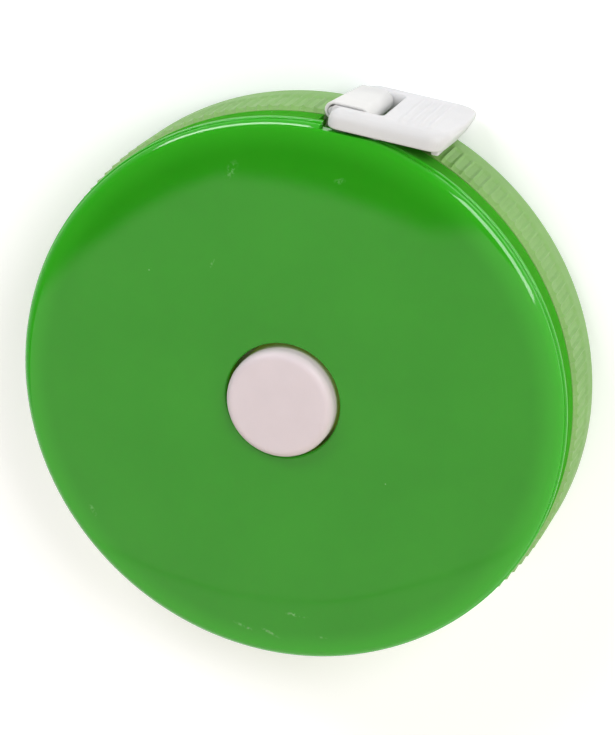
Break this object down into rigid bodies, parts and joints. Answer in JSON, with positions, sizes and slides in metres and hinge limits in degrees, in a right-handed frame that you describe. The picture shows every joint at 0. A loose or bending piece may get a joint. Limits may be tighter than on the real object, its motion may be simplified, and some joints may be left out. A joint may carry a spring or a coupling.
{
  "type": "retractable tape measure",
  "caption": "Round push-button sewing tape measure with a knurled rim, domed lid, side pull tab and a sprung reel inside.",
  "frame": {"origin": "centre of the flat back face", "axes": "+Z from the back face to the button, +Y from the centre to the mouth at the rim, +X the way the tape pulls out"},
  "size_m": [0.05, 0.0513, 0.0128],
  "materials": {
    "satin_green": "satin moulded",
    "gloss_green": "polished moulded",
    "button_plastic": "fine matt",
    "tab_plastic": "fine matt",
    "white_plastic": "moulded",
    "tape_vinyl": "coated glass cloth",
    "spring_steel": "blued and tempered",
    "brake_rubber": "matt"
  },
  "bodies": {
    "case": {"back_shell": "satin_green", "front_shell": "gloss_green", "slip_washer": "white_plastic", "return_spring": "spring_steel", "tape_lead": "tape_vinyl"},
    "reel": {"reel": "white_plastic", "brake_plate": "white_plastic", "spring_cover": "white_plastic", "power_spring": "spring_steel", "tape_winding": "tape_vinyl", "tape_anchor_pin": "white_plastic"},
    "button": {"button_cap": "button_plastic", "brake_slider": "white_plastic", "brake_ring": "brake_rubber"},
    "tab": {"pull_tab": "tab_plastic", "tape_end_loop": "tape_vinyl"}
  },
  "joints": [
    {"name": "reel_spin", "type": "hinge", "parent": "case", "child": "reel", "pos_m": [0, 0, 0], "axis": [0, 0, -1], "range_deg": [0, 5440], "deforming": ["power_spring"]},
    {"name": "tape_pull", "type": "slide", "parent": "case", "child": "tab", "axis": [1, 0, 0], "range_m": [0, 1.5], "deforming": ["tape_lead"]},
    {"name": "button_press", "type": "slide", "parent": "case", "child": "button", "axis": [0, 0, -1], "range_m": [0, 0.0012], "stiffness_N_per_m": 1200, "springref_m": -0.001, "deforming": ["return_spring"]}
  ],
  "couplings": [
    {"joint": "reel_spin", "follows": "tape_pull", "rad_per_m": 63.29}
  ]
}
